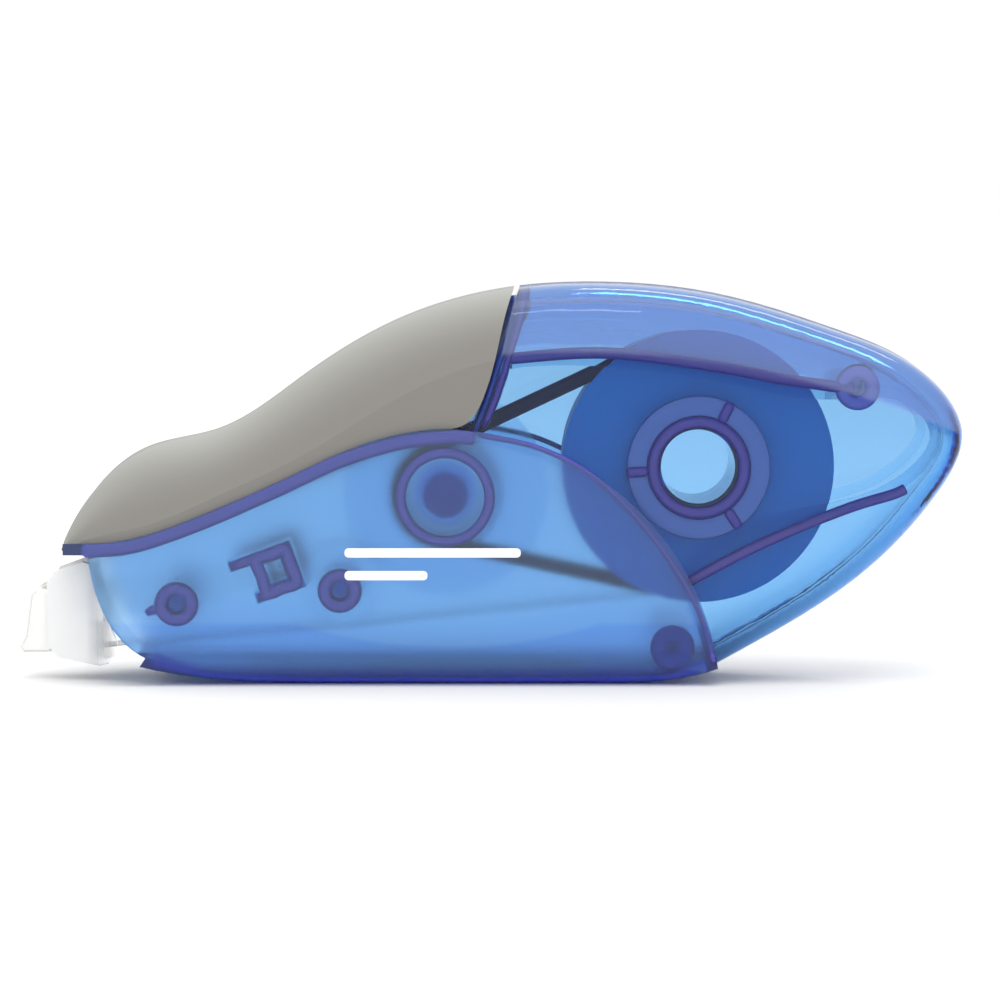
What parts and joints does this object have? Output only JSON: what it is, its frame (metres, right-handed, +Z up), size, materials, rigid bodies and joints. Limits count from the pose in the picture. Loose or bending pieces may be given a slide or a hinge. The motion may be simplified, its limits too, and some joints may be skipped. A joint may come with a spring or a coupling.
{
  "type": "correction tape roller",
  "caption": "Hand-held correction tape roller with a clear curved case, a soft grip, belt-linked reels and a flexing applicator.",
  "frame": {"origin": "on the flat keel that it stands on, below the middle of the whole length and width", "axes": "-X towards the applicator and +X towards the rounded tail, +Y across to the right-hand side, +Z up"},
  "size_m": [0.0922, 0.017, 0.039],
  "materials": {
    "clear_plastic": "clear and frosted blue polystyrene",
    "soft_grip": "matt soft-touch elastomer",
    "blue_plastic": "satin mid-blue moulding",
    "pale_plastic": "natural pale blue moulding",
    "navy_rubber": "matt synthetic rubber belt",
    "white_plastic": "frosted white moulding",
    "spring_steel": "plain spring steel",
    "tape_paper": "white coated correction tape",
    "liner_paper": "pale release liner"
  },
  "bodies": {
    "shell": {"left_case": "clear_plastic", "right_case": "clear_plastic", "grip": "soft_grip", "drive_belt": "navy_rubber", "applicator_frame": "white_plastic", "feed_tape": "tape_paper", "return_liner": "liner_paper"},
    "supply_drive": {"supply_pulley": "pale_plastic", "supply_disc": "blue_plastic", "retaining_ring": "spring_steel"},
    "supply_reel": {"supply_spool": "pale_plastic", "clutch_spring": "spring_steel", "tape_roll": "tape_paper"},
    "takeup_reel": {"takeup_pulley": "pale_plastic", "takeup_core": "pale_plastic", "liner_roll": "liner_paper"},
    "guide": {"guide_roller": "white_plastic"},
    "applicator": {"applicator_blade": "white_plastic", "tip_tape": "tape_paper"}
  },
  "joints": [
    {"name": "supply_spin", "type": "hinge", "parent": "shell", "child": "supply_drive", "pos_m": [0.0202, 0, 0.0212], "axis": [0, 1, 0], "continuous": true},
    {"name": "clutch_slip", "type": "hinge", "parent": "supply_drive", "child": "supply_reel", "pos_m": [0.0202, 0, 0.0212], "axis": [0, 1, 0], "continuous": true},
    {"name": "takeup_spin", "type": "hinge", "parent": "shell", "child": "takeup_reel", "pos_m": [-0.0043, 0, 0.0184], "axis": [0, 1, 0], "continuous": true},
    {"name": "guide_spin", "type": "hinge", "parent": "shell", "child": "guide", "pos_m": [-0.0145, 0, 0.0093], "axis": [0, 1, 0], "continuous": true},
    {"name": "blade_flex", "type": "hinge", "parent": "shell", "child": "applicator", "pos_m": [-0.0392, 0, 0.0066], "axis": [0, 1, 0], "range_deg": [-3, 4], "stiffness_Nm_per_rad": 0.02}
  ],
  "couplings": [
    {"joint": "takeup_spin", "follows": "supply_spin", "ratio": 2.7174},
    {"joint": "guide_spin", "follows": "supply_spin", "ratio": 3.05}
  ]
}
